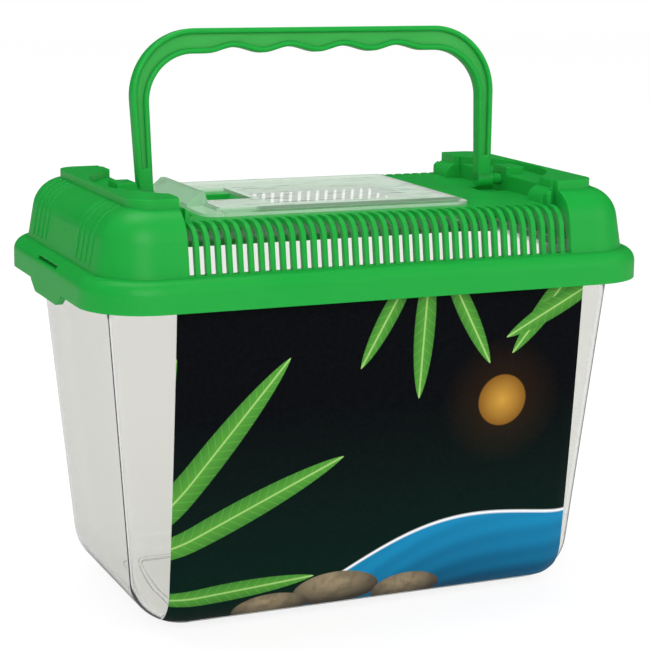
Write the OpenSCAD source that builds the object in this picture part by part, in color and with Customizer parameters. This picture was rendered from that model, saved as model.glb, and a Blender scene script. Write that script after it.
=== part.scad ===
// Plastic pet keeper: a clear tapered tub with a printed front card, a green
// press-on lid with slotted sides, a clear hatch hinged in the lid and a carry
// handle that swings on two pins. Millimetres, +Z up, the origin is the middle
// of the base. The long side lies along X and the front faces -Y.

/* [Tub] */
// Height of the tub from the base to the top edge of its wall
tub_h = 115.5; // [90:0.5:150]
// Width of the tub across its base
tub_base_w = 158.6; // [154:0.2:170]
// Depth of the tub across its base
tub_base_d = 95.2; // [92:0.2:104]
// How much wider the tub is at its top edge than at its base
tub_flare_w = 18.2; // [14:0.2:22]
// How much deeper the tub is at its top edge than at its base
tub_flare_d = 13; // [10:0.2:15]
// Wall thickness of the tub
tub_wall = 1.6; // [1.2:0.1:2.4]
// Corner radius of the tub in plan
tub_corner_r = 18; // [16:0.5:20]
// Radius of the edge between the wall and the base
tub_edge_r = 16; // [10:0.5:16]
// Height of the standing ring under the base
foot_h = 1; // [0.6:0.1:2]
// Width of the standing ring's own band
foot_band = 2.2; // [1.6:0.1:4]
// Thickness of the rim that runs round the tub below its top edge
rim_t = 2; // [1.5:0.1:3]

/* [Front card] */
// Width of the printed card on the tub's front
card_w = 141.4; // [100:0.2:144]
// Thickness of the card
card_t = 0.35; // [0.3:0.05:0.6]
// Height of the card's lower edge over the base
card_low_z = 4.2; // [3:0.1:12]

/* [Lid] */
// How far the lid's skirt stands out from the tub's top edge at each end
lid_out_w = 8.6; // [8:0.1:11]
// How far the skirt stands out from the tub's top edge at the front and back
lid_out_d = 3.9; // [3.6:0.1:6]
// Outer corner radius of the skirt in plan
lid_corner_r = 21; // [20:0.5:22]
// Wall thickness of the lid
lid_wall = 2.2; // [1.8:0.1:2.4]
// Height of the skirt from its lower edge to the foot of the dome
skirt_h = 10; // [9:0.5:14]
// Radius of the skirt's shoulder
shoulder_r = 4.6; // [3.5:0.1:5]
// How far the dome's foot stands in from the skirt
ledge_w = 4.9; // [4.4:0.1:5.4]
// Angle by which the dome's walls lean in
dome_draft = 9.5; // [4:0.5:10]
// Height of the deck between the end blocks, over the skirt's lower edge
deck_h = 25.2; // [24:0.2:30]
// Radius where the slotted sides turn into the deck
deck_r = 7.3; // [6:0.1:8]
// Height of the end blocks over the skirt's lower edge
block_h = 30.1; // [29:0.2:36]
// Radius of the end blocks' upper edge
block_r = 11.2; // [8:0.2:12]
// Distance from the middle to the outer part of each end block
block_x = 66.3; // [66:0.1:68]

/* [Stacking rails] */
// Height of the rails over the end blocks
rail_h = 2.7; // [2:0.1:4]
// Distance from the skirt's end to the outer edge of the rails
rail_end_in = 15.9; // [13:0.1:17]
// Half the length of a rail, front to back
rail_half_d = 43; // [38:0.5:44]
// Corner radius of the rails
rail_corner_r = 7; // [4:0.5:9]
// Radius of the hollow that the handle swings in
dish_r = 41.4; // [38:0.2:41.8]

/* [Vent slots] */
// Number of slots along each long side
slot_count = 38; // [20:1:38]
// Distance from one slot to the next
slot_pitch = 3.52; // [3:0.02:3.52]
// Width of a slot
slot_w = 2; // [1:0.1:2.2]
// Wall thickness of the slotted sides and the deck
slot_wall = 2; // [1.2:0.1:2.2]
// Distance from the middle to where the slots end on the deck
slot_in_y = 40; // [38:0.5:44]

/* [End grips and tabs] */
// Number of fine ribs in each group on the end faces
rib_count = 4; // [2:1:6]
// Distance from one fine rib to the next
rib_pitch = 5; // [2.5:0.1:5]
// Width of the snap tab where it leaves the skirt
tab_w = 35.6; // [24:0.2:44]
// How far the snap tab hangs below the skirt
tab_drop = 3.9; // [2:0.1:6]
// Length of the slit over each snap tab
slit_len = 23; // [12:1:30]

/* [Hatch] */
// Width of the opening under the hatch
opening_w = 51; // [40:1:54]
// Depth of the opening under the hatch
opening_d = 36; // [30:1:44]
// Distance from the middle to the hatch's hinge pin
hinge_x = 37.4; // [37:0.1:40]
// Radius of the hatch's hinge pins
hinge_pin_r = 1; // [0.8:0.05:1.2]
// Length of the hatch's hinge pins
hinge_pin_len = 2.8; // [2:0.1:4]
// Radius of the hatch's hinge barrel
barrel_r = 2.6; // [2.2:0.1:2.8]
// Width of the hatch's raised panel
panel_w = 84.4; // [80:0.2:86]
// Depth of the hatch's raised panel
panel_d = 62.2; // [56:0.2:66]
// Width of the hatch's border round the panel
border_w = 6; // [4:0.2:6.4]
// Thickness of the hatch's panel and border
hatch_t = 1; // [0.8:0.1:1.2]
// Height of the raised panel over the border
panel_rise = 0.9; // [0.8:0.1:1.6]
// Height of the finger lip over the raised panel
lip_rise = 3.7; // [2.5:0.1:4.5]
// Width of the finger lip, front to back
lip_w = 39; // [30:0.5:46]
// Width of the finger hole behind the lip
finger_hole_w = 17.3; // [10:0.1:18]
// Depth of the finger hole, front to back
finger_hole_d = 26.4; // [16:0.2:30]

/* [Handle] */
// Outer width of the handle over its legs
handle_w = 131.2; // [129:0.2:131.2]
// Height of the handle's top over the skirt's lower edge
handle_top = 81.6; // [76:0.2:100]
// Width of the legs at their top, seen from the front
leg_w = 5.8; // [5:0.1:6]
// How far the legs' outer sides draw in at the foot
leg_in_out = 1.4; // [0:0.1:2]
// How far the legs' inner sides draw in at the foot
leg_in_in = 0.5; // [0:0.1:1]
// Depth of the handle, front to back
handle_t = 4.8; // [4:0.1:6]
// Outer radius of the handle's upper corners
handle_corner_r = 22.2; // [18:0.2:26]
// Inner radius of the handle's upper corners
handle_inner_r = 15.7; // [12:0.1:18]
// Height of the grip at its thickest
grip_h = 8.2; // [7:0.1:10]
// Number of finger grooves under the grip
groove_count = 4; // [2:1:4]
// Distance from one finger groove to the next
groove_pitch = 19.7; // [17:0.1:20]
// Depth of a finger groove
groove_depth = 1.9; // [1:0.1:2.2]
// Thickness of the web between the handle's rims
web_t = 1.8; // [1.2:0.1:3]
// Width of the rims round the web
handle_rim = 1.8; // [1.2:0.1:2]
// Height of the handle's pivot over the skirt's lower edge
pivot_h = 28.3; // [28:0.1:29]
// Radius of the feet that turn on the pivots
foot_r = 3; // [2.6:0.1:3.4]
// Radius of the pivot pins
pivot_pin_r = 1.9; // [1.6:0.05:2.2]
// Length of the pivot pins
pivot_pin_len = 5.2; // [4.8:0.1:5.4]
// Free play of the handle between the lid's cheeks, on each side
side_play = 1.8; // [1.6:0.1:2]
// Where the handle sits in its side play, measured from the middle
handle_shift = -1.4; // [-1.4:0.1:1.4]
// Angle by which the handle leans back
handle_lean = 5; // [-20:1:20]

/* [Hidden] */
$fn = 64;
through = 1;            // how far a cut runs past the surface it opens
run_gap = 0.08;         // radial clearance of a pin in its bore
seat_gap = 0.3;         // gap between pieces that lie on each other

lid_w = tub_base_w + tub_flare_w + 2 * lid_out_w;
lid_d = tub_base_d + tub_flare_d + 2 * lid_out_d;
skirt_z = tub_h - skirt_h + lid_wall + seat_gap;
deck_z = skirt_z + deck_h;
block_z = skirt_z + block_h;
corner_x = lid_w / 2 - lid_corner_r;    // centres of the plan corners
corner_y = lid_d / 2 - lid_corner_r;
side_step = 0.4;                        // the slotted sides lie this far in
dome_foot = lid_corner_r - ledge_w + skirt_h * tan(dome_draft);

leg_out_x = handle_w / 2;
leg_in_x = leg_out_x - leg_w;
foot_out_x = leg_out_x;
foot_in_x = leg_in_x - leg_in_in - 0.4;
pivot_z = skirt_z + pivot_h;
trough_in_x = foot_in_x - side_play;
trough_out_x = foot_out_x + side_play;
trough_half_d = 30.4;
trough_depth = 0.4;
well_half_d = 5.5;
well_depth = 1.4;
cheek_half_d = 5;
cheek_out_x = trough_out_x + 6.6;
rail_out_x = lid_w / 2 - rail_end_in;
rail_in_x = 65.4;
ridge_w = 1.1;                          // rail left between dish and outer edge
dish_x = rail_out_x - ridge_w - dish_r;

hatch_z = deck_z + seat_gap;            // underside of the hatch's border
panel_z = hatch_z + hatch_t + panel_rise;
panel_right_x = hinge_x - 2.7;
panel_left_x = panel_right_x - panel_w;
hole_left_x = panel_left_x + 1.4;
hinge_z = deck_z - barrel_r + 0.6;
hinge_half_d = panel_d / 2;
groove_r = barrel_r + seat_gap;
casing_t = 1.6;                         // wall under the hinge groove

module mirror_x() {
    children();
    mirror([1, 0, 0]) children();
}

module mirror_y() {
    children();
    mirror([0, 1, 0]) children();
}

// A flat plate with round corners, centred on the Z axis.
module round_plate(w, d, r, h) {
    translate([-w / 2 + r, -d / 2, 0]) cube([w - 2 * r, d, h]);
    translate([-w / 2, -d / 2 + r, 0]) cube([w, d - 2 * r, h]);
    for (sx = [-1, 1], sy = [-1, 1])
        translate([sx * (w / 2 - r), sy * (d / 2 - r), 0]) cylinder(r = r, h = h);
}

// ---- tub ----

// The tub's form, grown outward by g; g is negative for the space inside.
module tub_form(g, top_z) {
    base_w = tub_base_w + 2 * g;
    base_d = tub_base_d + 2 * g;
    top_w = base_w + tub_flare_w * (top_z - foot_h) / (tub_h - foot_h);
    top_d = base_d + tub_flare_d * (top_z - foot_h) / (tub_h - foot_h);
    r = tub_corner_r + g;
    edge = tub_edge_r + g;
    hull() {
        for (sx = [-1, 1], sy = [-1, 1]) {
            translate([sx * (base_w / 2 - r), sy * (base_d / 2 - r), foot_h - g])
                rotate_extrude($fn = 48) edge_profile(r, edge);
            translate([sx * (top_w / 2 - r), sy * (top_d / 2 - r), top_z - 0.01])
                cylinder(r = r, h = 0.01, $fn = 48);
        }
    }
}

// Half section of a disc of radius r whose lower edge is rounded by edge.
module edge_profile(r, edge) {
    polygon(concat([[0, 0]],
        [for (a = [0 : 15 : 90]) [r - edge + edge * sin(a), edge - edge * cos(a)]],
        [[0, edge]]));
}

module tub() {
    rim_inset = lid_wall + 2 * seat_gap;
    rim_w = lid_w - 2 * rim_inset;
    rim_d = lid_d - 2 * rim_inset;
    rim_r = lid_corner_r - rim_inset;
    rim_low_z = skirt_z + skirt_h - shoulder_r + 0.9 - rim_t;
    foot_w = tub_base_w - 2 * tub_edge_r - 1;
    foot_d = tub_base_d - 2 * tub_edge_r - 1;
    color([0.88, 0.91, 0.9, 0.35]) {
        difference() {
            union() {
                tub_form(0, tub_h);
                translate([0, 0, rim_low_z]) round_plate(rim_w, rim_d, rim_r, rim_t);
            }
            tub_form(-tub_wall, tub_h + through);
        }
        difference() {
            round_plate(foot_w, foot_d, 6, foot_h + 0.01);
            translate([0, 0, -through])
                round_plate(foot_w - 2 * foot_band, foot_d - 2 * foot_band,
                    6 - foot_band, foot_h + 2 * through);
        }
    }
}

// ---- front card ----

module front_card() {
    card_gap = 0.05;
    card_top_z = skirt_z + 1;
    color([0.1, 0.14, 0.16])
        intersection() {
            difference() {
                tub_form(card_gap + card_t, card_top_z + through);
                tub_form(card_gap, card_top_z + 2 * through);
            }
            translate([-card_w / 2, -lid_d, card_low_z])
                cube([card_w, lid_d, card_top_z - card_low_z]);
        }
}

// ---- lid ----

// A section drawn outward from the corner centres, swept round the whole lid.
module swept_ring() {
    for (sx = [0, 1], sy = [0, 1])
        mirror([sx, 0, 0]) mirror([0, sy, 0])
            translate([corner_x, corner_y, 0]) rotate_extrude(angle = 90) children();
    for (a = [0, 180])
        rotate([0, 0, a]) translate([corner_x, corner_y, 0])
            rotate([90, 0, 0]) linear_extrude(2 * corner_y) children();
    for (a = [0, 180])
        rotate([0, 0, a]) translate([-corner_x, corner_y, 0])
            rotate([90, 0, 90]) linear_extrude(2 * corner_x) children();
}

// Section from the corner centre outward: a wall that leans in by draft, and a
// round upper edge. foot is its reach at height 0; inset shrinks every face.
module wall_section(foot, high, r, draft, inset, low) {
    round_z = high - r;
    round_x = foot - round_z * tan(draft) - r / cos(draft);
    r_in = r - inset;
    intersection() {
        union() {
            polygon([[0, -low],
                [round_x + r_in / cos(draft) + (round_z + low) * tan(draft), -low],
                [round_x + r_in * cos(draft), round_z + r_in * sin(draft)],
                [round_x, round_z], [round_x, high - inset], [0, high - inset]]);
            translate([round_x, round_z]) circle(r = r_in);
        }
        translate([0, -low]) square([2 * foot, high + low]);
    }
}

module skirt_form(inset, low) {
    translate([0, 0, skirt_z]) {
        swept_ring()
            wall_section(lid_corner_r, skirt_h, shoulder_r, 0, inset, low);
        translate([-corner_x, -corner_y, -low])
            cube([2 * corner_x, 2 * corner_y, skirt_h - inset + low]);
    }
}

module block_section(inset, low) {
    wall_section(dome_foot, block_h, block_r, dome_draft, inset, low);
}

module side_section(inset, low) {
    wall_section(dome_foot - side_step, deck_h, deck_r, dome_draft, inset, low);
}

// One end block, for +X, from its inner face to the lid's end.
module block_form(inset, low) {
    from_x = block_x + inset;
    translate([0, 0, skirt_z]) {
        mirror_y() translate([corner_x, corner_y, 0])
            rotate_extrude(angle = 90) block_section(inset, low);
        translate([corner_x, corner_y, 0]) rotate([90, 0, 0])
            linear_extrude(2 * corner_y) block_section(inset, low);
        mirror_y() translate([from_x, corner_y, 0]) rotate([90, 0, 90])
            linear_extrude(corner_x - from_x) block_section(inset, low);
        translate([from_x, -corner_y, -low])
            cube([corner_x - from_x, 2 * corner_y, block_h - inset + low]);
    }
}

// The lid's dome, whose faces lie inset inside the real ones. Its slotted
// sides and deck are no thicker than slot_wall.
module dome_form(inset, low) {
    half_w = block_x + inset;
    side_inset = min(inset, slot_wall);
    mirror_x() block_form(inset, low);
    translate([-half_w, 0, skirt_z]) {
        mirror_y() translate([0, corner_y, 0]) rotate([90, 0, 90])
            linear_extrude(2 * half_w) side_section(side_inset, low);
        translate([0, -corner_y, -low])
            cube([2 * half_w, 2 * corner_y, deck_h - side_inset + low]);
    }
}

// The rounded inner edge of an end block, over the deck.
module block_edge() {
    edge_r = block_h - deck_h - 0.3;
    half_d = rail_half_d - 0.5;
    mirror_x() mirror_y()
        translate([block_x, trough_half_d, block_z - edge_r])
            rotate([-90, 0, 0])
                intersection() {
                    cylinder(r = edge_r, h = half_d - trough_half_d);
                    translate([-edge_r, -edge_r, 0]) cube([edge_r, 2 * edge_r, half_d]);
                }
}

module stacking_rails() {
    rail_len = rail_out_x - rail_in_x;
    mirror_x()
        difference() {
            translate([rail_out_x - rail_len, 0, block_z - 3]) linear_extrude(3 + rail_h)
                rail_outline(rail_len);
            translate([dish_x, 0, block_z]) cylinder(r = dish_r, h = rail_h + through, $fn = 128);
        }
}

module rail_outline(rail_len) {
    intersection() {
        translate([rail_len - 30, -rail_half_d])
            union() {
                translate([0, rail_corner_r]) square([30, 2 * (rail_half_d - rail_corner_r)]);
                square([30 - rail_corner_r, 2 * rail_half_d]);
                for (y = [rail_corner_r, 2 * rail_half_d - rail_corner_r])
                    translate([30 - rail_corner_r, y]) circle(r = rail_corner_r);
            }
        translate([0, -rail_half_d]) square([rail_len, 2 * rail_half_d]);
    }
}

module pivot_cheeks() {
    mirror_x() translate([trough_out_x, -cheek_half_d, block_z - 1])
        cube([cheek_out_x - trough_out_x, 2 * cheek_half_d, 1 + rail_h]);
}

module end_ribs() {
    rib_w = 0.8;
    rib_out = 0.35;
    first_y = 18;
    mirror_x() mirror_y()
        for (i = [0 : rib_count - 1])
            translate([corner_x, first_y + i * rib_pitch + rib_w / 2, skirt_z])
                rotate([90, 0, 0]) linear_extrude(rib_w)
                    difference() {
                        block_section(-rib_out, 0);
                        square([dome_foot - block_r - 1, block_h + 1]);
                        square([dome_foot + 1, skirt_h + 2]);
                    }
}

module snap_tabs() {
    tab_low_w = tab_w - 11;
    mirror_x() translate([lid_w / 2 - lid_wall, 0, skirt_z])
        rotate([90, 0, 90]) linear_extrude(lid_wall)
            polygon([[-tab_w / 2, 1], [-tab_w / 2, -0.6], [-tab_low_w / 2 - 1.2, -tab_drop + 0.5],
                [-tab_low_w / 2, -tab_drop], [tab_low_w / 2, -tab_drop],
                [tab_low_w / 2 + 1.2, -tab_drop + 0.5], [tab_w / 2, -0.6], [tab_w / 2, 1]]);
}

module vent_slots() {
    first_x = -slot_pitch * (slot_count - 1) / 2;
    mirror_y()
        for (i = [0 : slot_count - 1])
            translate([first_x + i * slot_pitch - slot_w / 2, slot_in_y, skirt_z + skirt_h + 0.3])
                cube([slot_w, lid_d / 2 - slot_in_y, deck_h]);
}

// Space the handle's legs and feet swing in, grown by g for its casing.
module swing_space(g) {
    width = trough_out_x - trough_in_x + 2 * g;
    mirror_x() {
        translate([trough_in_x - g, -trough_half_d - g, deck_z - trough_depth - g])
            cube([width, 2 * (trough_half_d + g), block_h]);
        translate([trough_in_x - g, -well_half_d - g, deck_z - well_depth - g])
            cube([width, 2 * (well_half_d + g), block_h]);
    }
}

// The finger hollow in the deck, under the hatch's finger hole.
module finger_hollow(g) {
    left_x = hole_left_x;
    right_x = left_x + finger_hole_w + 3;
    depth = 6;
    translate([0, finger_hole_d / 2 + 0.5 + g, 0]) rotate([90, 0, 0])
        linear_extrude(finger_hole_d + 1 + 2 * g)
            polygon([[left_x - g, deck_z + through], [left_x - g, deck_z - depth - g],
                [right_x - depth + g / 2, deck_z - depth - g], [right_x + g * 1.4, deck_z - g],
                [right_x + g * 1.4, deck_z + through]]);
}

// A round bar along the hatch's hinge axis.
module hinge_bar(r, half_d) {
    translate([hinge_x, half_d, hinge_z]) rotate([90, 0, 0]) cylinder(r = r, h = 2 * half_d);
}

module lid() {
    bore_depth = pivot_pin_len + 0.4;
    hinge_reach = hinge_half_d + seat_gap + hinge_pin_len + 0.4;
    low = skirt_h;
    color([0.16, 0.66, 0.27])
        difference() {
            union() {
                skirt_form(0, 0);
                dome_form(0, 0);
                block_edge();
                stacking_rails();
                pivot_cheeks();
                end_ribs();
                snap_tabs();
            }
            // The hollow inside, less the casings that hang into it.
            difference() {
                union() {
                    skirt_form(lid_wall, low);
                    dome_form(lid_wall, low);
                }
                swing_space(lid_wall);
                finger_hollow(casing_t);
                hinge_bar(groove_r + casing_t, hinge_reach + casing_t);
                mirror_x() translate([trough_out_x, -cheek_half_d, deck_z - lid_wall])
                    cube([cheek_out_x - trough_out_x, 2 * cheek_half_d, block_h]);
            }
            swing_space(0);
            finger_hollow(0);
            vent_slots();
            translate([-opening_w / 2, -opening_d / 2, deck_z - 2 * lid_wall])
                cube([opening_w, opening_d, 3 * lid_wall]);
            hinge_bar(groove_r, hinge_half_d + seat_gap);
            hinge_bar(hinge_pin_r + run_gap, hinge_reach);
            mirror_x() translate([trough_out_x - through, 0, pivot_z]) rotate([0, 90, 0])
                cylinder(r = pivot_pin_r + run_gap, h = bore_depth + through);
            // Slits over the snap tabs.
            mirror_x() translate([lid_w / 2 - shoulder_r, -slit_len / 2, skirt_z + skirt_h - 2.9])
                cube([shoulder_r + through, slit_len, 1.3]);
        }
}

// ---- hatch ----

// Side view of the hatch's panel and barrel. The panel's right end slopes down
// onto the barrel; t draws every face in.
module panel_side(t) {
    end_x = panel_right_x - t * 0.3;
    end_z = panel_z - t;
    run = hinge_x - end_x;
    rise = end_z - hinge_z;
    reach = sqrt(run * run + rise * rise);
    r = barrel_r - t;
    touch = atan2(rise, -run) - acos(r / reach);
    inner = t > 0;
    low_z = inner ? hinge_z - barrel_r - through : hatch_z;
    low_x = inner ? hinge_x : hinge_x - sqrt(r * r - (hatch_z - hinge_z) * (hatch_z - hinge_z));
    polygon([[panel_left_x + t, low_z], [panel_left_x + t, end_z], [end_x, end_z],
        [hinge_x + r * cos(touch), hinge_z + r * sin(touch)], [hinge_x, hinge_z], [low_x, low_z]]);
    translate([hinge_x, hinge_z]) circle(r = r);
}

module hatch() {
    wall_t = 1.2;
    border_left_x = panel_left_x - border_w;
    inside_d = panel_d - 2 * wall_t;
    color([0.86, 0.93, 0.9, 0.4]) {
        difference() {
            union() {
                // Border that lies on the deck.
                translate([(border_left_x + hinge_x) / 2, 0, hatch_z])
                    round_plate(hinge_x - border_left_x, panel_d + 2 * border_w, 5, hatch_t);
                translate([0, panel_d / 2, 0]) rotate([90, 0, 0])
                    linear_extrude(panel_d) panel_side(0);
                finger_lip();
            }
            translate([0, inside_d / 2, 0]) rotate([90, 0, 0])
                linear_extrude(inside_d) panel_side(wall_t);
            translate([hole_left_x, -finger_hole_d / 2, hatch_z - through])
                cube([finger_hole_w, finger_hole_d, panel_rise + hatch_t + 2 * through]);
        }
        // Hinge pins on the barrel's ends.
        mirror_y() translate([hinge_x, hinge_half_d + hinge_pin_len, hinge_z])
            rotate([90, 0, 0]) cylinder(r = hinge_pin_r, h = hinge_pin_len + wall_t / 2);
    }
}

// The lip rises from the panel's left edge and slopes outward to the border,
// with a notch under its middle for a fingertip.
module finger_lip() {
    lip_t = 1.4;
    top_x = panel_left_x - 0.6;
    low_x = panel_left_x - border_w + 0.2;
    top_z = panel_z + lip_rise;
    notch_z = hatch_z + 1.6;
    translate([0, lip_w / 2, 0]) rotate([90, 0, 0]) linear_extrude(lip_w)
        polygon([[hole_left_x, panel_z], [hole_left_x, panel_z - hatch_t],
            [panel_left_x, panel_z - hatch_t], [top_x, top_z - lip_t],
            [low_x + lip_t, panel_z - 0.4], [low_x + lip_t, notch_z], [low_x, notch_z],
            [low_x, panel_z], [top_x - 0.9, top_z], [top_x + 0.7, top_z]]);
    mirror_y() translate([0, lip_w / 2, 0]) rotate([90, 0, 0])
        linear_extrude((lip_w - finger_hole_d) / 2)
            polygon([[panel_left_x, hatch_z], [low_x, hatch_z], [low_x, panel_z],
                [top_x - 0.9, top_z], [top_x + 0.7, top_z], [panel_left_x + 1, panel_z]]);
}

// ---- handle ----

// Front view of the handle, drawn in by i from its real edge.
module handle_outline(i) {
    top = handle_top - i;
    grip_low = handle_top - grip_h + i;
    r_out = handle_corner_r - i;
    r_in = handle_inner_r + i;
    bend_z = handle_top - handle_corner_r;
    bend_in_z = handle_top - grip_h - handle_inner_r;
    out = leg_out_x - i;
    in_x = leg_in_x + i;
    difference() {
        union() {
            polygon([[-out + leg_in_out, pivot_h], [-out, bend_z], [out, bend_z],
                [out - leg_in_out, pivot_h]]);
            translate([-out + r_out, pivot_h]) square([2 * (out - r_out), top - pivot_h]);
            for (s = [-1, 1])
                translate([s * (out - r_out), bend_z]) circle(r = r_out);
        }
        polygon([[-in_x + leg_in_in, pivot_h - through], [-in_x, bend_in_z], [in_x, bend_in_z],
            [in_x - leg_in_in, pivot_h - through]]);
        translate([-in_x + r_in, pivot_h - through])
            square([2 * (in_x - r_in), grip_low - pivot_h + through]);
        for (s = [-1, 1])
            translate([s * (in_x - r_in), bend_in_z]) circle(r = r_in);
        grooves(i, grip_low - i);
    }
}

// The finger grooves: a wave under the grip, drawn i above its real line.
module grooves(i, crest_z) {
    steps = 24;             // straight pieces in one groove
    half_w = groove_pitch * groove_count / 2;
    wave = [for (k = [0 : steps * groove_count])
        let (turn = 360 * k / steps,
            slope = PI * groove_depth / groove_pitch * sin(turn),
            x = -half_w + groove_pitch * k / steps,
            z = crest_z + groove_depth * (1 - cos(turn)) / 2)
        [x - i * slope / norm([1, slope]), z + i / norm([1, slope])]];
    polygon(concat([[-half_w, crest_z - 1]], wave, [[half_w, crest_z - 1]]));
}

module handle() {
    solid_h = 8.6;           // the recesses end this far above the pivot
    color([0.16, 0.66, 0.27])
        translate([handle_shift, 0, pivot_z]) rotate([-handle_lean, 0, 0])
            translate([0, 0, -pivot_h]) {
                difference() {
                    translate([0, handle_t / 2, 0]) rotate([90, 0, 0])
                        linear_extrude(handle_t) handle_outline(0);
                    // Recesses that leave the web between the rims.
                    mirror_y() translate([0, -web_t / 2, 0]) rotate([90, 0, 0])
                        linear_extrude(handle_t)
                            difference() {
                                handle_outline(handle_rim);
                                translate([-handle_w, 0])
                                    square([2 * handle_w, pivot_h + solid_h]);
                            }
                }
                mirror_x() translate([foot_in_x, 0, pivot_h]) rotate([0, 90, 0])
                    cylinder(r = foot_r, h = foot_out_x - foot_in_x);
                mirror_x() translate([foot_out_x - 1, 0, pivot_h]) rotate([0, 90, 0])
                    cylinder(r = pivot_pin_r, h = pivot_pin_len + 1);
            }
}

tub();
front_card();
lid();
hatch();
handle();
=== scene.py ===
import math

import bmesh
import bpy
from mathutils import Matrix, Vector

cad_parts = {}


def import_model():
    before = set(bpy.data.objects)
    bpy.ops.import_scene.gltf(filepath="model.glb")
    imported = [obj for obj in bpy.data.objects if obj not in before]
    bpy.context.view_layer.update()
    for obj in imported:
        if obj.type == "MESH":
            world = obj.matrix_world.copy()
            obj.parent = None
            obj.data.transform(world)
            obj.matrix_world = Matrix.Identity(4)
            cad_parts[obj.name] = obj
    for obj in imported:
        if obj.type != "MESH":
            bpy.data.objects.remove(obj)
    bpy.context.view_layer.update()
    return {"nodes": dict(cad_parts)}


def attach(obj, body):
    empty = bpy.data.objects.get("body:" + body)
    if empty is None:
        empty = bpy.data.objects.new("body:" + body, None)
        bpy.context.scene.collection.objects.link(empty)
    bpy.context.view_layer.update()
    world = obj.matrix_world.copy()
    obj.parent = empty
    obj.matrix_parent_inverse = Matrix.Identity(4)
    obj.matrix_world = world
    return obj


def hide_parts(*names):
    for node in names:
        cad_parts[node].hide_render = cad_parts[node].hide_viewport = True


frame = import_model()

# The lid and the hatch are the CAD solids with materials of their own. The tub, its
# card and the handle are finer meshes that stand for their solids.

MM = 0.001

# Sizes of the part, in millimetres, as its source has them.
TUB_H = 115.5
TUB_BASE = (158.6, 95.2)
TUB_FLARE = (18.2, 13.0)
TUB_WALL = 1.6
TUB_CORNER_R = 18.0
TUB_EDGE_R = 16.0
FOOT_H = 1.0
FOOT_BAND = 2.2
FOOT_R = 6.0
FOOT_STEP = 0.5
RIM_Z = (112.3, 114.3)
RIM_SIZE = (188.4, 110.4)
RIM_R = 18.2
CARD_W = 141.4
CARD_T = 0.35
CARD_Z = (4.2, 109.0)
CARD_GAP = 0.05
SKIRT_Z = 108.0
PIVOT_H = 28.3
HANDLE_W = 131.2
HANDLE_TOP = 81.6
HANDLE_T = 4.8
HANDLE_SHIFT = -1.4
HANDLE_LEAN = 5.0
LEG_W = 5.8
LEG_IN_OUT = 1.4
LEG_IN_IN = 0.5
BEND_R_OUT = 22.2
BEND_R_IN = 15.7
GRIP_H = 8.2
GROOVES = 4
GROOVE_PITCH = 19.7
GROOVE_DEPTH = 1.9
RIM_BEAD = 1.8
WEB_T = 1.8
RECESS_END = 36.9
FOOT_PIVOT_R = 2.7
PIN_R = 1.9
PIN_REACH = 5.2

# What only the finer meshes have, in millimetres: tighter inner corners of the tub,
# chamfers as (in, along Z), and the handle's rounding, overlap and chamfers.
TUB_INNER_TIGHTER = 0.6
FOOT_CHAMFER = (0.25, 0.3)
RIM_CHAMFER = (0.3, 0.3)
LIP_CHAMFER = (0.3, 0.4)
BEAD_ROUND = 0.85
WEB_OVERLAP = 0.5
PIN_CHAMFER = 0.5
# How far the tub's lower edge turns before the straight wall, and from where a
# mesh's edges are sharp, in degrees.
EDGE_TURN = 84.0
SHARP = 38.0
SHARP_HANDLE = 32.0
# Steps of the meshes, and how much closer the card's rows lie near its foot.
CORNER_STEPS = 12
EDGE_STEPS = 14
WALL_STEPS = 8
CARD_STEPS = (96, 40)
CARD_CROWDING = 1.4
BEND_STEPS = 20
GROOVE_STEPS = 24
PIN_STEPS = 40

# The camera, solved from the photograph's outline of the lid.
CAMERA_AT = (-0.25681, -0.59788, 0.22374)
CAMERA_YAW = -23.349
CAMERA_PITCH = -11.7515
CAMERA_ROLL = 0.6999
CAMERA_LENS = 107.25
CAMERA_CLIP = (0.01, 20.0)
SENSOR = 36.0

# Light of the room, how bright rough and sharp reflections show its walls, how much
# greyer its corners are than the walls, and the number of corners.
AMBIENT = 0.70
MIRRORED = 0.03
SHARP_MIRRORED = 0.88
CORNER_GREY = 0.85
ROOM_CORNERS = 4.0

# The floor in metres, its grey for the light's own rays, and for the others a fainter
# grey under a glow, which is dimmer where it is seen in a reflection.
FLOOR_SIZE = 6.0
FLOOR_GREY = (0.85, 0.85, 0.85, 1.0)
FLOOR_FAINT = (0.30, 0.30, 0.30, 1.0)
FLOOR_GLOW = 0.78
FLOOR_MIRRORED = 0.14

# Name, place and diameter in metres, and power in watts of each lamp.
LAMPS = (
    ("key", (-0.35, -1.15, 0.75), 0.9, 6.0),
    ("fill", (0.9, -0.8, 0.5), 0.8, 1.5),
    ("top", (-0.1, 0.25, 1.3), 0.9, 4.0),
)
LAMPS_AIM = (0.0, 0.0, 0.09)

# Colours, linear.
GREEN = (0.018, 0.410, 0.056, 1.0)
GREEN_DEEP = (0.002, 0.385, 0.044, 1.0)
# Painted light: a lighter green for the handle's thin web, standing in for light that passes
# through thin plastic.
GREEN_WEB_PAINTED_LIGHT = (0.075, 0.490, 0.100, 1.0)
CLEAR = (0.830, 0.828, 0.800, 1.0)
CLEAR_HATCH = (0.860, 0.940, 0.850, 1.0)
FROST = (0.520, 0.800, 0.560, 1.0)
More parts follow.
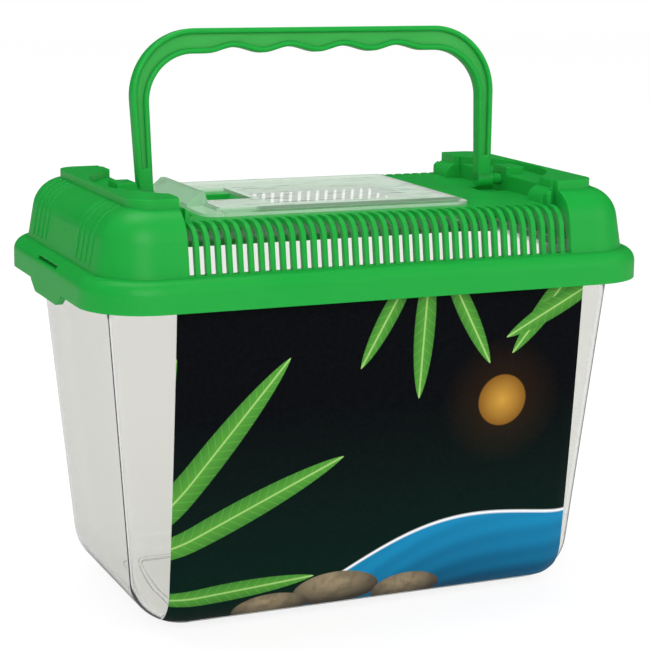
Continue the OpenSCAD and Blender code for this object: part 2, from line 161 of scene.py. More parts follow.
# Painted light: the green that the lid around it throws onto the tub's clear rim.
RIM_PAINTED_GREEN = (0.480, 0.700, 0.500, 1.0)
LAMP_SHARE = (0.900, 0.900, 0.900, 1.0)
INK = (0.0012, 0.0020, 0.0035, 1.0)
INK_GREEN = (0.002, 0.030, 0.018, 1.0)
SKY_BLUE = (0.010, 0.260, 0.500, 1.0)
DEEP_BLUE = (0.002, 0.030, 0.080, 1.0)
LEAF_DARK = (0.004, 0.085, 0.020, 1.0)
LEAF_LIGHT = (0.120, 0.420, 0.050, 1.0)
LEAF_RIB = (0.360, 0.620, 0.180, 1.0)
AMBER = (0.620, 0.330, 0.050, 1.0)
AMBER_DARK = (0.210, 0.085, 0.010, 1.0)
STONE = (0.420, 0.330, 0.200, 1.0)
STONE_DARK = (0.055, 0.045, 0.035, 1.0)
PAPER = (0.860, 0.860, 0.840, 1.0)
PAPER_DARK = (0.760, 0.760, 0.730, 1.0)
WHITE = (1.0, 1.0, 1.0, 1.0)

# Values of a noise over which what it drives goes from one end to the other, and
# those of the noise lines that show as scratches.
NOISE_SPAN = (0.3, 0.7)
SCRATCH_SPAN = (0.66, 0.74)

# Where the frosting of the hatch's lip, and the haze and painted green light of the
# tub's rim, come in, in metres, the Z part of a normal over which a face of the hatch
# stops being an edge, and how frosted its edges are and how strongly the rim is painted.
LIP_X = (-0.0485, -0.0495)
RIM_PAINT_Z = (0.1105, 0.1118)
EDGE_NORMAL_Z = (0.45, 0.75)
EDGE_FROST = 0.65
RIM_PAINT_SHARE = 0.5
# What frosting, and the rim's painted green, add to the roughness and leave of the light passing
# through.
FROST_ROUGH = 0.34
FROST_PASSES = 0.45


# ---- nodes ----

def new_material(name):
    mat = bpy.data.materials.new(name)
    mat.use_nodes = True
    return mat, mat.node_tree, mat.node_tree.nodes["Principled BSDF"]


def add(tree, kind, inputs=None, **settings):
    made = tree.nodes.new("ShaderNode" + kind)
    for key, value in settings.items():
        setattr(made, key, value)
    for key, value in (inputs or {}).items():
        if isinstance(value, bpy.types.NodeSocket):
            tree.links.new(value, made.inputs[key])
        else:
            made.inputs[key].default_value = value
    return made


def calc(tree, operation, *values):
    return add(tree, "Math", dict(enumerate(values)), operation=operation).outputs[0]


def mixed(tree, share, first, second):
    made = add(tree, "Mix", {0: share, 6: first, 7: second}, data_type="RGBA")
    return made.outputs[2]


def spread(tree, value, low, high, to_low, to_high):
    made = add(tree, "MapRange", {"Value": value, "From Min": low, "From Max": high,
                                  "To Min": to_low, "To Max": to_high})
    return made.outputs[0]


def chosen(tree, switch, off, on):
    """off where switch is 0, on where it is 1."""
    return spread(tree, switch, 0.0, 1.0, off, on)


def noise(tree, place, scale, detail):
    made = add(tree, "TexNoise", {"Vector": place, "Scale": scale, "Detail": detail})
    return made.outputs["Fac"]


def varied(tree, value, low, high):
    """From low to high over the middle values of a noise."""
    return spread(tree, value, *NOISE_SPAN, low, high)


def scratches(tree, place, stretch, turn):
    stretched = add(tree, "Mapping", {"Vector": place, "Scale": stretch,
                                      "Rotation": (turn, turn * 2.0, turn * 3.0)})
    lines = noise(tree, stretched.outputs[0], scale=1.0, detail=1.0)
    return spread(tree, lines, *SCRATCH_SPAN, 0.0, 1.0)


def plug(tree, shader, **links):
    """Links sockets of the shader to what varies over the surface."""
    for key, value in links.items():
        tree.links.new(value, shader.inputs[key.replace("_", " ")])


def fix(shader, **values):
    """Sets sockets of the shader to what is the same all over the surface."""
    for key, value in values.items():
        shader.inputs[key.replace("_", " ")].default_value = value


# ---- materials ----

def green_plastic(name, deep, light, edge_r):
    """Moulded plastic that light enters a little way, with a fine grain and scuffs."""
    mat, tree, shader = new_material(name)
    place = add(tree, "TexCoord").outputs["Object"]
    cloud = noise(tree, place, scale=28.0, detail=3.0)
    marks = scratches(tree, place, stretch=(90.0, 900.0, 700.0), turn=0.7)
    grain = noise(tree, place, scale=2600.0, detail=2.0)
    ripple = noise(tree, place, scale=120.0, detail=1.0)
    height = calc(tree, "ADD", grain, calc(tree, "MULTIPLY", ripple, 2.0))
    round_edge = add(tree, "Bevel", {"Radius": edge_r * MM}, samples=6)
    bump = add(tree, "Bump", {"Height": height, "Strength": 0.12, "Distance": 0.0002,
                              "Normal": round_edge.outputs[0]})
    rough = calc(tree, "ADD", varied(tree, cloud, 0.33, 0.41),
                 calc(tree, "MULTIPLY", marks, 0.10))
    plug(tree, shader, Base_Color=mixed(tree, cloud, deep, light),
         Roughness=rough, Normal=bump.outputs[0])
    fix(shader, IOR=1.49, Specular_IOR_Level=0.30, Subsurface_Weight=0.35,
        Subsurface_Radius=(0.3, 1.0, 0.4), Subsurface_Scale=0.003)
    return mat


def clear_plastic(name, tint, frost_and_painted_tint, haze, frosted):
    """Clear plastic with faint ripples and scuffs; a mask frosts and colours it, and on the tub's
    rim paints green light from the lid.
    """
    mat, tree, shader = new_material(name)
    place = add(tree, "TexCoord").outputs["Object"]
    cloud = noise(tree, place, scale=22.0, detail=3.0)
    marks = scratches(tree, place, stretch=(60.0, 1100.0, 500.0), turn=1.3)
    ripple = noise(tree, place, scale=45.0, detail=2.0)
    bump = add(tree, "Bump", {"Height": ripple, "Strength": 0.005, "Distance": 0.0004})
    rough = calc(tree, "ADD", varied(tree, cloud, haze, haze * 2.0),
                 calc(tree, "MULTIPLY", marks, 0.04))
    # On the tub's rim the mask paints green light from the lid; on the hatch it frosts.
    mask = frosted(tree, place)
    rough = calc(tree, "ADD", rough, calc(tree, "MULTIPLY", mask, FROST_ROUGH))
    tint = mixed(tree, cloud, tint, tuple(0.985 * c for c in tint[:3]) + (1.0,))
    plug(tree, shader, Base_Color=mixed(tree, mask, tint, frost_and_painted_tint), Roughness=rough,
         Transmission_Weight=chosen(tree, mask, 1.0, FROST_PASSES), Normal=bump.outputs[0])
    fix(shader, IOR=1.45)
    let_lamps_through(tree, shader)
    return mat


def let_lamps_through(tree, shader):
    """Light from lamps and room reaches what the clear plastic holds or covers."""
    path = add(tree, "LightPath")
    lamp_ray = calc(tree, "MAXIMUM", path.outputs["Is Shadow Ray"], path.outputs["Is Diffuse Ray"])
    open_way = add(tree, "BsdfTransparent", {"Color": LAMP_SHARE})
    mix = add(tree, "MixShader", {0: lamp_ray, 1: shader.outputs[0], 2: open_way.outputs[0]})
    tree.links.new(mix.outputs[0], tree.nodes["Material Output"].inputs[0])


def hatch_mask(tree, place):
    """The finger lip is frosted, and the hatch's cut edges are partly so."""
    x = add(tree, "SeparateXYZ", {0: place}).outputs[0]
    lip = spread(tree, x, *LIP_X, 0.0, 1.0)
    up = add(tree, "SeparateXYZ", {0: add(tree, "NewGeometry").outputs["True Normal"]}).outputs[2]
    edge = spread(tree, calc(tree, "ABSOLUTE", up), *EDGE_NORMAL_Z, EDGE_FROST, 0.0)
    return calc(tree, "MAXIMUM", lip, edge)


def rim_painted_green_mask(tree, place):
    """The tub's rim and top edge get painted green light from the lid around them, and are rougher
    and less clear.
    """
    z = add(tree, "SeparateXYZ", {0: place}).outputs[2]
    return spread(tree, z, *RIM_PAINT_Z, 0.0, RIM_PAINT_SHARE)


# ---- the card's print: leaves over water, a generic design ----

# All lengths are in millimetres, and places are across and up from the middle of the
# card's lower edge. Foot of each leaf, its angle, length and half width.
LEAVES = (
    ((-92.0, 14.0), 74.0, 78.0, 8.5),
    ((-90.0, 18.0), 24.0, 84.0, 9.0),
    ((-92.0, 16.0), 50.0, 92.0, 10.0),
    ((-84.0, 8.0), 4.0, 62.0, 6.5),
    ((10.0, 116.0), -118.0, 40.0, 6.5),
    ((14.0, 117.0), -92.0, 48.0, 7.5),
    ((18.0, 116.0), -62.0, 42.0, 6.5),
    ((74.0, 118.0), -128.0, 46.0, 7.5),
    ((82.0, 108.0), -152.0, 44.0, 7.0),
)
# Middle and half sizes of each pebble.
PEBBLES = (
    ((-14.0, 6.0), (15.0, 6.5)),
    ((12.0, 3.0), (12.0, 6.0)),
    ((-36.0, 2.0), (13.0, 5.5)),
)
SUN_AT = (43.0, 66.0)
SUN_R = 8.5
# How a leaf swells from its ends (a power), its fullness, the soft edges of leaf and
# rib, and the gap and slant of its veins.
LEAF_SWELL = 0.72
LEAF_FULL = 1.35
LEAF_SOFT = 0.25
RIB_EDGE = (0.18, 0.42)
VEIN_GAP = 3.4
VEIN_SLANT = 0.9
# The water's height and slope, its swell (height, turn per millimetre, start), the
# depths over which its white line begins and ends, how much of the deep colour it has
# at what depth, and its ripples (strength, turn per millimetre of depth and across).
WATER_Z = 15.0
WATER_SLOPE = 0.20
SWELL = (7.0, 0.045, 0.6)
LINE_TOP = (0.0, 0.6)
LINE_END = (0.9, 1.5)
WATER_DEEP = (30.0, 0.85)
RIPPLE = (0.07, 0.9, 0.12)


def leaf(tree, x, z, base, angle, length, width):
    """Returns (mask, how far along, distance from the rib) of one leaf."""
    c, s = math.cos(math.radians(angle)), math.sin(math.radians(angle))
    dx = calc(tree, "SUBTRACT", x, base[0])
    dz = calc(tree, "SUBTRACT", z, base[1])
    u = calc(tree, "MULTIPLY_ADD", dx, c / length, calc(tree, "MULTIPLY", dz, s / length))
    v = calc(tree, "MULTIPLY_ADD", dz, c, calc(tree, "MULTIPLY", dx, -s))
    off = calc(tree, "ABSOLUTE", v)
    inside = calc(tree, "MULTIPLY", u, calc(tree, "SUBTRACT", 1.0, u))
    swell = calc(tree, "POWER", calc(tree, "MAXIMUM", inside, 0.0), LEAF_SWELL)
    reach = calc(tree, "MULTIPLY", swell, width * LEAF_FULL)
    return spread(tree, calc(tree, "SUBTRACT", reach, off), 0.0, LEAF_SOFT, 0.0, 1.0), u, off


def print_leaves(tree, x, z, under):
    """Leaves with a pale rib and slanting veins, darker towards rim and tip."""
    for base, angle, length, width in LEAVES:
        mask, u, off = leaf(tree, x, z, base, angle, length, width)
        slanted = calc(tree, "MULTIPLY_ADD", off, -VEIN_SLANT / length, u)
        veins = calc(tree, "FRACT", calc(tree, "MULTIPLY", slanted, length / VEIN_GAP))
        vein = spread(tree, veins, 0.0, 0.12, 0.55, 0.0)
        tone = calc(tree, "ADD", spread(tree, off, 0.0, width, 0.75, 0.10), vein)
        blade = mixed(tree, tone, LEAF_DARK, LEAF_LIGHT)
        blade = mixed(tree, spread(tree, off, *RIB_EDGE, 1.0, 0.0), blade, LEAF_RIB)
        rim = spread(tree, off, width * 0.2, width, 0.0, 0.35)
        blade = mixed(tree, calc(tree, "MULTIPLY", rim, u), blade, LEAF_DARK)
        under = mixed(tree, mask, under, blade)
    return under


def print_water(tree, x, z, under):
    """Rippled water under a white line, darker with depth."""
    height, per_mm, start = SWELL
    swell = calc(tree, "SINE", calc(tree, "MULTIPLY_ADD", x, per_mm, start))
    level = calc(tree, "MULTIPLY_ADD", x, WATER_SLOPE, WATER_Z)
    line = calc(tree, "MULTIPLY_ADD", swell, height, level)
    depth = calc(tree, "SUBTRACT", line, z)
    strength, down, across = RIPPLE
    aslant = calc(tree, "MULTIPLY_ADD", depth, down, calc(tree, "MULTIPLY", x, across))
    deep_z, deepest = WATER_DEEP
    share = calc(tree, "MULTIPLY_ADD", calc(tree, "SINE", aslant), strength,
                 spread(tree, depth, 0.0, deep_z, 0.0, deepest))
    water = mixed(tree, share, SKY_BLUE, DEEP_BLUE)
    lined = mixed(tree, spread(tree, depth, *LINE_TOP, 0.0, 1.0), under, WHITE)
    return mixed(tree, spread(tree, depth, *LINE_END, 0.0, 1.0), lined, water)


def distance(tree, x, z, middle, size):
    """Distance from middle, measured in half sizes."""
    dx = calc(tree, "MULTIPLY_ADD", x, 1.0 / size[0], -middle[0] / size[0])
    dz = calc(tree, "MULTIPLY_ADD", z, 1.0 / size[1], -middle[1] / size[1])
    return calc(tree, "SQRT", calc(tree, "MULTIPLY_ADD", dx, dx, calc(tree, "MULTIPLY", dz, dz)))


def print_sun(tree, x, z, under):
    """An amber disc, darker towards its rim, in a faint glow."""
    far = distance(tree, x, z, SUN_AT, (SUN_R, SUN_R))
    disc = mixed(tree, spread(tree, far, 0.0, 1.1, 0.0, 1.0), AMBER, AMBER_DARK)
    glow = mixed(tree, spread(tree, far, 1.0, 2.6, 0.08, 0.0), under, AMBER_DARK)
    return mixed(tree, spread(tree, far, 1.0, 1.05, 1.0, 0.0), glow, disc)


def print_pebbles(tree, x, z, speck, under):
    """Specked stones, lit from the upper left."""
    for middle, size in PEBBLES:
        far = distance(tree, x, z, middle, size)
        lit = distance(tree, x, z, (middle[0] - 2.0, middle[1] + size[1] * 0.5), size)
        stone = mixed(tree, spread(tree, lit, 0.0, 1.3, 0.0, 1.0), STONE, STONE_DARK)
        stone = mixed(tree, spread(tree, speck, 0.45, 0.62, 0.0, 0.35), stone, STONE_DARK)
        under = mixed(tree, spread(tree, far, 1.0, 1.04, 1.0, 0.0), under, stone)
    return under


def printed_card():
    """The print over near-black ink that turns green low down, with fine paper flecks."""
    mat, tree, shader = new_material("printed_card")
    coords = add(tree, "TexCoord")
    flat = add(tree, "SeparateXYZ", {0: coords.outputs["UV"]})
    x = calc(tree, "MULTIPLY_ADD", flat.outputs[0], CARD_W, -CARD_W / 2)
    z = calc(tree, "MULTIPLY", flat.outputs[1], CARD_Z[1] - CARD_Z[0])
    fleck = noise(tree, coords.outputs["Object"], scale=900.0, detail=2.0)
    ground = mixed(tree, spread(tree, z, 10.0, 70.0, 0.5, 0.0), INK, INK_GREEN)
    speck = noise(tree, coords.outputs["Object"], scale=260.0, detail=3.0)
    colour = print_sun(tree, x, z, ground)
    colour = print_water(tree, x, z, colour)
    colour = print_pebbles(tree, x, z, speck, colour)
    colour = print_leaves(tree, x, z, colour)
    colour = mixed(tree, varied(tree, fleck, 0.0, 0.002), colour, WHITE)
    bump = add(tree, "Bump", {"Height": fleck, "Strength": 0.06, "Distance": 0.0001})
    plug(tree, shader, Base_Color=colour, Roughness=varied(tree, fleck, 0.36, 0.40),
         Normal=bump.outputs[0])
    fix(shader, Specular_IOR_Level=0.06)
    return mat


def card_back():
    """Plain paper, which also shows at the card's edges."""
    mat, tree, shader = new_material("card_back")
    place = add(tree, "TexCoord").outputs["Object"]
    fibre = noise(tree, place, scale=700.0, detail=4.0)
    bump = add(tree, "Bump", {"Height": fibre, "Strength": 0.15, "Distance": 0.0001})
    colour = mixed(tree, varied(tree, fibre, 0.0, 0.5), PAPER, PAPER_DARK)
    plug(tree, shader, Base_Color=colour, Normal=bump.outputs[0])
    fix(shader, Roughness=0.8)
    return mat


# ---- meshes ----

def plan_ring(cx, cy, r, z):
    """A rounded rectangle in plan: corner centres at (cx, cy), corner radius r."""
    points = []
    for sx, sy, first in ((1, 1, 0), (-1, 1, 90), (-1, -1, 180), (1, -1, 270)):
        for i in range(CORNER_STEPS + 1):
            a = math.radians(first + 90.0 * i / CORNER_STEPS)
            points.append(Vector((sx * cx + r * math.cos(a), sy * cy + r * math.sin(a), z)) * MM)
    return points


def box_ring(size, r, z, grown=0.0):
    return plan_ring(size[0] / 2 - r, size[1] / 2 - r, r + grown, z)


def skin(name, rings):
    """A closed mesh through rings of points, capped by its first and last ring."""
    bm = bmesh.new()
    rows = [[bm.verts.new(p) for p in ring] for ring in rings]
    count = len(rows[0])
    for low, high in zip(rows, rows[1:]):
        for i in range(count):
            j = (i + 1) % count
            bm.faces.new((low[i], low[j], high[j], high[i]))
    bm.faces.new(rows[0])
    bm.faces.new(rows[-1])
    return finished(name, bm, SHARP)


def finished(name, bm, sharp):
    """An object from the mesh, smooth but for edges sharper than sharp degrees."""
    bmesh.ops.recalc_face_normals(bm, faces=bm.faces)
    mesh = bpy.data.meshes.new(name)
    bm.to_mesh(mesh)
    bm.free()
    mesh.shade_smooth()
    mesh.set_sharp_from_angle(angle=math.radians(sharp))
    obj = bpy.data.objects.new(name, mesh)
    bpy.context.scene.collection.objects.link(obj)
    return obj


def wall_sections(g):
    """Sections (cx, cy, r, z) of the tub's form grown by g, from flat base to top."""
    cx, cy = TUB_BASE[0] / 2 - TUB_CORNER_R, TUB_BASE[1] / 2 - TUB_CORNER_R
    edge = TUB_EDGE_R + g
    flat_r = TUB_CORNER_R - TUB_EDGE_R
    sections = []
    for i in range(EDGE_STEPS + 1):
        a = math.radians(EDGE_TURN * i / EDGE_STEPS)
        sections.append((cx, cy, flat_r + edge * math.sin(a),
                         FOOT_H - g + edge * (1 - math.cos(a))))
    top = (cx + TUB_FLARE[0] / 2, cy + TUB_FLARE[1] / 2, TUB_CORNER_R + g, TUB_H)
    foot = sections[-1]
    for i in range(1, WALL_STEPS + 1):
        sections.append(tuple(a + (b - a) * i / WALL_STEPS for a, b in zip(foot, top)))
    return sections


def at_height(sections, z):
    """The section at height z, between its two neighbours."""
    for low, high in zip(sections, sections[1:]):
        if low[3] <= z <= high[3] + 1e-6:
            t = (z - low[3]) / (high[3] - low[3])
            return tuple(a + (b - a) * t for a, b in zip(low, high))
    return sections[-1]


def clear_tub():
    """Rings from the hollow of its foot, up outside over rim and lip, and down inside."""
    outer = wall_sections(0.0)
    inner = wall_sections(-TUB_WALL)
    foot = [side - 2 * (TUB_EDGE_R + FOOT_STEP) for side in TUB_BASE]
    hollow = [side - 2 * FOOT_BAND for side in foot]
    hollow_r = FOOT_R - FOOT_BAND
    cut, cut_z = FOOT_CHAMFER
    rings = [box_ring(hollow, hollow_r, FOOT_H), box_ring(hollow, hollow_r, cut_z),
             box_ring(hollow, hollow_r, 0.0, cut), box_ring(foot, FOOT_R, 0.0, -cut),
             box_ring(foot, FOOT_R, cut_z), box_ring(foot, FOOT_R, FOOT_H)]
    rings += [plan_ring(*s) for s in outer if s[3] < RIM_Z[0]]
    rings += [plan_ring(*at_height(outer, RIM_Z[0]))]
    cut, cut_z = RIM_CHAMFER
    rings += [box_ring(RIM_SIZE, RIM_R, RIM_Z[0]), box_ring(RIM_SIZE, RIM_R, RIM_Z[1] - cut_z),
              box_ring(RIM_SIZE, RIM_R, RIM_Z[1], -cut)]
    rings += [plan_ring(*at_height(outer, RIM_Z[1]))]
    cut, cut_z = LIP_CHAMFER
    cx, cy, r, z = outer[-1]
    rings += [plan_ring(*at_height(outer, TUB_H - cut_z)), plan_ring(cx, cy, r - cut, z),
              plan_ring(cx, cy, r - TUB_WALL + cut, z),
              plan_ring(*at_height(inner, TUB_H - cut_z))]
    move = TUB_INNER_TIGHTER
    rings += [plan_ring(cx + move, cy + move, r - move, z)
              for cx, cy, r, z in reversed(inner[:-1])]
    tub = skin("clear_tub_body", rings)
    # The rim gets painted green light from the lid around it.
    tub.data.materials.append(clear_plastic("clear_tub", CLEAR, RIM_PAINTED_GREEN, 0.012, rim_painted_green_mask))
    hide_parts("tub")
    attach(tub, "tub")


def front_point(x, z, g):
    """A point of the tub's front, grown by g, at x across and height z."""
    cx, cy, r, z = at_height(wall_sections(g), z)
    over = abs(x) - cx
    y = -cy - (math.sqrt(r * r - over * over) if over > 0 else r)
    return Vector((x, y, z)) * MM


def front_card():
    """A sheet that follows the tub's front, printed outside and plain inside."""
    across, up = CARD_STEPS
    heights = [CARD_Z[0] + (CARD_Z[1] - CARD_Z[0]) * (j / up) ** CARD_CROWDING
               for j in range(up + 1)]
    bm = bmesh.new()
    uv = bm.loops.layers.uv.new("print")
    sheets = []
    for g in (CARD_GAP + CARD_T, CARD_GAP):
        sheets.append([[bm.verts.new(front_point(CARD_W * (i / across - 0.5), z, g))
                        for i in range(across + 1)] for z in heights])
    front, back = sheets
    for sheet, slot in ((front, 0), (back, 1)):
        for j in range(up):
            for i in range(across):
                quad = (sheet[j][i], sheet[j][i + 1], sheet[j + 1][i + 1], sheet[j + 1][i])
                bm.faces.new(quad).material_index = slot
    loop_f = edge_loop(front)
    loop_b = edge_loop(back)
    for k in range(len(loop_f)):
        n = (k + 1) % len(loop_f)
        bm.faces.new((loop_f[k], loop_b[k], loop_b[n], loop_f[n])).material_index = 1
    for face in bm.faces:
        for loop in face.loops:
            co = loop.vert.co / MM
            loop[uv].uv = (co.x / CARD_W + 0.5, (co.z - CARD_Z[0]) / (CARD_Z[1] - CARD_Z[0]))
    card = finished("front_card_print", bm, SHARP)
    card.data.materials.append(printed_card())
    card.data.materials.append(card_back())
    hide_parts("front_card")
    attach(card, "tub")


def edge_loop(rows):
    """The vertices round the border of a grid, in order."""
    left = [row[0] for row in rows]
    right = [row[-1] for row in rows]
    return rows[0][:-1] + right[:-1] + list(reversed(rows[-1]))[:-1] + list(reversed(left))[:-1]


# ---- handle ----

def arc(cx, cz, r, first, last):
    angles = [math.radians(first + (last - first) * i / BEND_STEPS)
              for i in range(BEND_STEPS + 1)]
    return [(cx + r * math.cos(a), cz + r * math.sin(a)) for a in angles]


def wave(inset, crest_z):
    """The grip's underside with its finger grooves, from left to right."""
    half_w = GROOVE_PITCH * GROOVES / 2
    points = []
    for k in range(GROOVE_STEPS * GROOVES + 1):
        turn = math.tau * k / GROOVE_STEPS
        slope = math.pi * GROOVE_DEPTH / GROOVE_PITCH * math.sin(turn)
        length = math.hypot(1.0, slope)
        z = crest_z + GROOVE_DEPTH * (1 - math.cos(turn)) / 2
        points.append((-half_w + GROOVE_PITCH * k / GROOVE_STEPS - inset * slope / length,
                       z + inset / length))
    return points


def handle_loop(inset, low_z):
    """The handle's front view as one closed loop, drawn in by inset."""
    out = HANDLE_W / 2 - inset
    inner = HANDLE_W / 2 - LEG_W + inset
    r_out, r_in = BEND_R_OUT - inset, BEND_R_IN + inset
    bend_z = HANDLE_TOP - BEND_R_OUT
    bend_in_z = HANDLE_TOP - GRIP_H - BEND_R_IN
    down = (bend_z - low_z) / (bend_z - PIVOT_H)
    down_in = (bend_in_z - low_z) / (bend_in_z - PIVOT_H)
    foot_out = out - LEG_IN_OUT * down
    foot_in = inner - LEG_IN_IN * down_in
    points = [(foot_out, low_z)]
    points += arc(out - r_out, bend_z, r_out, 0, 90)
    points += arc(-out + r_out, bend_z, r_out, 90, 180)
    points += [(-foot_out, low_z), (-foot_in, low_z)]
    points += arc(-inner + r_in, bend_in_z, r_in, 180, 90)
    points += wave(inset, HANDLE_TOP - GRIP_H)
    points += arc(inner - r_in, bend_in_z, r_in, 90, 0)
    points += [(foot_in, low_z)]
    return points


def plate(loops, half_t, round_r):
    """Mesh of a flat plate with holes, its edges rounded by round_r."""
    curve = bpy.data.curves.new("plate", "CURVE")
    curve.dimensions = "2D"
    curve.fill_mode = "BOTH"
    for loop in loops:
        spline = curve.splines.new("POLY")
        spline.points.add(len(loop) - 1)
        for point, (x, z) in zip(spline.points, loop):
            point.co = (x * MM, z * MM, 0.0, 1.0)
        spline.use_cyclic_u = True
    curve.extrude = (half_t - round_r) * MM
    curve.bevel_depth = round_r * MM
    curve.bevel_resolution = 4
    curve.offset = -round_r * MM
    holder = bpy.data.objects.new("plate", curve)
    bpy.context.scene.collection.objects.link(holder)
    bpy.context.view_layer.update()
    mesh = bpy.data.meshes.new_from_object(holder.evaluated_get(
        bpy.context.evaluated_depsgraph_get()))
    bpy.data.objects.remove(holder)
    bpy.data.curves.remove(curve)
    return mesh


def lathe_x(bm, profile, z):
    """Adds a solid turned about the X axis at height z from (x, radius) pairs."""
    turns = [math.tau * k / PIN_STEPS for k in range(PIN_STEPS)]
    rows = []
    for x, r in profile:
        rows.append([bm.verts.new(Vector((x, r * math.cos(a), z + r * math.sin(a))) * MM)
                     for a in turns])
    for low, high in zip(rows, rows[1:]):
        for k in range(PIN_STEPS):
            n = (k + 1) % PIN_STEPS
            bm.faces.new((low[k], low[n], high[n], high[k]))
    bm.faces.new(rows[0])
    bm.faces.new(rows[-1])


def carry_handle(material, painted_light_web):
    """A rounded bead all round, a thinner web inside it, and the turned feet and pins."""
    bm = bmesh.new()
    stand = Matrix.Rotation(math.radians(90), 4, "X")
    bead = plate([handle_loop(0.0, PIVOT_H), handle_loop(RIM_BEAD, RECESS_END)],
                 HANDLE_T / 2, BEAD_ROUND)
    web = plate([handle_loop(RIM_BEAD - WEB_OVERLAP, RECESS_END - WEB_OVERLAP)],
                WEB_T / 2, 0.0)
    for slot, mesh in enumerate((bead, web)):
        mesh.transform(stand)
        known = len(bm.faces)
        bm.from_mesh(mesh)
        bm.faces.ensure_lookup_table()
        for face in bm.faces[known:]:
            face.material_index = slot
        bpy.data.meshes.remove(mesh)
    bmesh.ops.remove_doubles(bm, verts=bm.verts, dist=1e-6)
    foot_in = HANDLE_W / 2 - LEG_W - LEG_IN_IN
    out = HANDLE_W / 2
    end = out + PIN_REACH
    cut = PIN_CHAMFER
    for s in (-1, 1):
        lathe_x(bm, [(s * foot_in, FOOT_PIVOT_R - cut), (s * (foot_in + cut), FOOT_PIVOT_R),
                     (s * (out - cut), FOOT_PIVOT_R), (s * out, FOOT_PIVOT_R - cut),
                     (s * out, PIN_R), (s * (end - cut), PIN_R), (s * end, PIN_R - cut)],
                PIVOT_H)
    place = (Matrix.Translation(Vector((HANDLE_SHIFT, 0.0, SKIRT_Z + PIVOT_H)) * MM)
             @ Matrix.Rotation(math.radians(-HANDLE_LEAN), 4, "X")
             @ Matrix.Translation(Vector((0.0, 0.0, -PIVOT_H)) * MM))
    bmesh.ops.transform(bm, matrix=place, verts=bm.verts)
    handle = finished("carry_handle", bm, SHARP_HANDLE)
    handle.data.materials.append(material)
    # The web's lighter green is painted light passing through the thin plastic.
    handle.data.materials.append(painted_light_web)
    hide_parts("handle")
    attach(handle, "handle")


# ---- CAD nodes ----

def dress(name, material):
    """Gives a CAD node its material."""
    node = frame["nodes"][name]
    node.data.materials.clear()
    node.data.materials.append(material)


# ---- stage ----

def backdrop_rays(tree):
    """1 for camera, glossy and transmission rays, 0 for the light's own."""
    path = add(tree, "LightPath")
    seen = calc(tree, "ADD", path.outputs["Is Camera Ray"], path.outputs["Is Glossy Ray"])
    return calc(tree, "MINIMUM", calc(tree, "ADD", seen, path.outputs["Is Transmission Ray"]), 1.0)


def floor():
    """Plain and pale; it takes the light's own rays and shadows as a grey floor."""
    bpy.ops.mesh.primitive_plane_add(size=FLOOR_SIZE, location=(0.0, 0.0, 0.0))
    obj = bpy.context.object
    obj.name = "floor"
    mat = bpy.data.materials.new("floor")
    mat.use_nodes = True
    tree = mat.node_tree
    tree.nodes.remove(tree.nodes["Principled BSDF"])
    plain = add(tree, "BsdfDiffuse", {"Color": FLOOR_GREY})
    faint = add(tree, "BsdfDiffuse", {"Color": FLOOR_FAINT})
    path = add(tree, "LightPath")
    level = chosen(tree, path.outputs["Is Glossy Ray"], FLOOR_GLOW, FLOOR_MIRRORED)
    level = chosen(tree, path.outputs["Is Transmission Ray"], level, FLOOR_GLOW)
    glow = add(tree, "Emission", {"Color": WHITE, "Strength": level})
    both = add(tree, "AddShader", {0: faint.outputs[0], 1: glow.outputs[0]})
    mix = add(tree, "MixShader", {0: backdrop_rays(tree), 1: plain.outputs[0], 2: both.outputs[0]})
    tree.links.new(mix.outputs[0], tree.nodes["Material Output"].inputs[0])
    obj.data.materials.append(mat)


def world():
    """White to the camera, the walls to mirrors and clear plastic, even light else."""
    scene_world = bpy.data.worlds.new("studio")
    scene_world.use_nodes = True
    bpy.context.scene.world = scene_world
    tree = scene_world.node_tree
    back = tree.nodes["Background"]
    back.inputs["Color"].default_value = WHITE
    path = add(tree, "LightPath")
    walls = studio_walls(tree)
    sharpness = chosen(tree, path.outputs["Is Singular Ray"], MIRRORED, SHARP_MIRRORED)
    mirrored = calc(tree, "MULTIPLY", walls, sharpness)
    lit = chosen(tree, path.outputs["Is Glossy Ray"], AMBIENT, mirrored)
    lit = chosen(tree, path.outputs["Is Transmission Ray"], lit, walls)
    lit = chosen(tree, path.outputs["Is Camera Ray"], lit, 1.0)
    tree.links.new(lit, back.inputs["Strength"])


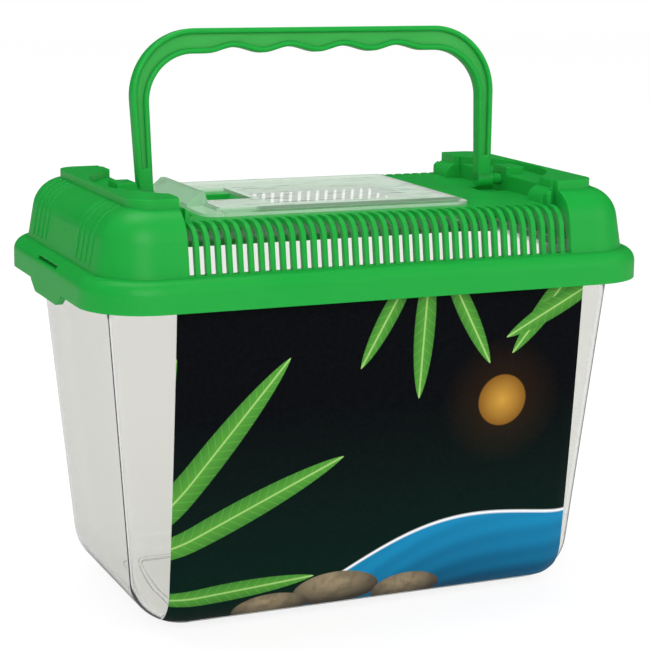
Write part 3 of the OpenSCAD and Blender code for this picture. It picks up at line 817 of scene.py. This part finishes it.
def studio_walls(tree):
    """What clear and glossy plastic sees: white walls, greyer in the room's corners."""
    parts = add(tree, "SeparateXYZ", {0: add(tree, "TexCoord").outputs["Generated"]})
    x, y = parts.outputs[0], parts.outputs[1]
    turn = calc(tree, "ARCTAN2", y, x)
    ahead = math.radians(90.0 + CAMERA_YAW)
    from_wall = calc(tree, "MULTIPLY_ADD", turn, ROOM_CORNERS, -ROOM_CORNERS * ahead)
    level = calc(tree, "MULTIPLY_ADD", x, x, calc(tree, "MULTIPLY", y, y))
    dim = calc(tree, "MULTIPLY", calc(tree, "SUBTRACT", 1.0, calc(tree, "COSINE", from_wall)),
               calc(tree, "MULTIPLY", level, CORNER_GREY / 2))
    return calc(tree, "SUBTRACT", 1.0, dim)


def soft_lamp(name, at, size, power):
    data = bpy.data.lights.new(name, "AREA")
    data.shape = "DISK"
    data.size = size
    data.energy = power
    lamp = bpy.data.objects.new(name, data)
    bpy.context.scene.collection.objects.link(lamp)
    lamp.location = at
    aim = Vector(LAMPS_AIM) - lamp.location
    lamp.rotation_mode = "QUATERNION"
    lamp.rotation_quaternion = aim.to_track_quat("-Z", "Y")


def camera():
    data = bpy.data.cameras.new("camera")
    data.sensor_width = SENSOR
    data.lens = CAMERA_LENS
    data.clip_start, data.clip_end = CAMERA_CLIP
    obj = bpy.data.objects.new("camera", data)
    bpy.context.scene.collection.objects.link(obj)
    yaw, pitch, roll = (math.radians(a) for a in (CAMERA_YAW, CAMERA_PITCH, CAMERA_ROLL))
    ahead = Vector((-math.sin(yaw) * math.cos(pitch), math.cos(yaw) * math.cos(pitch),
                    math.sin(pitch)))
    right = Vector((math.cos(yaw), math.sin(yaw), 0.0))
    up = right.cross(ahead)
    x_axis = right * math.cos(roll) + up * math.sin(roll)
    y_axis = up * math.cos(roll) - right * math.sin(roll)
    axes = Matrix((x_axis, y_axis, -ahead)).transposed().to_4x4()
    obj.matrix_world = Matrix.Translation(Vector(CAMERA_AT)) @ axes
    bpy.context.scene.camera = obj


camera()
world()
for lamp in LAMPS:
    soft_lamp(*lamp)
floor()
moulded = green_plastic("green_plastic", GREEN_DEEP, GREEN, 0.5)
# A lighter copy of the green for the handle's web: painted light through thin plastic.
web_painted_light = green_plastic("green_web_painted_light", GREEN, GREEN_WEB_PAINTED_LIGHT, 0.3)
dress("lid", moulded)
dress("hatch", clear_plastic("clear_hatch", CLEAR_HATCH, FROST, 0.0, hatch_mask))
clear_tub()
front_card()
carry_handle(moulded, web_painted_light)
bpy.context.scene.view_settings.view_transform = "Standard"
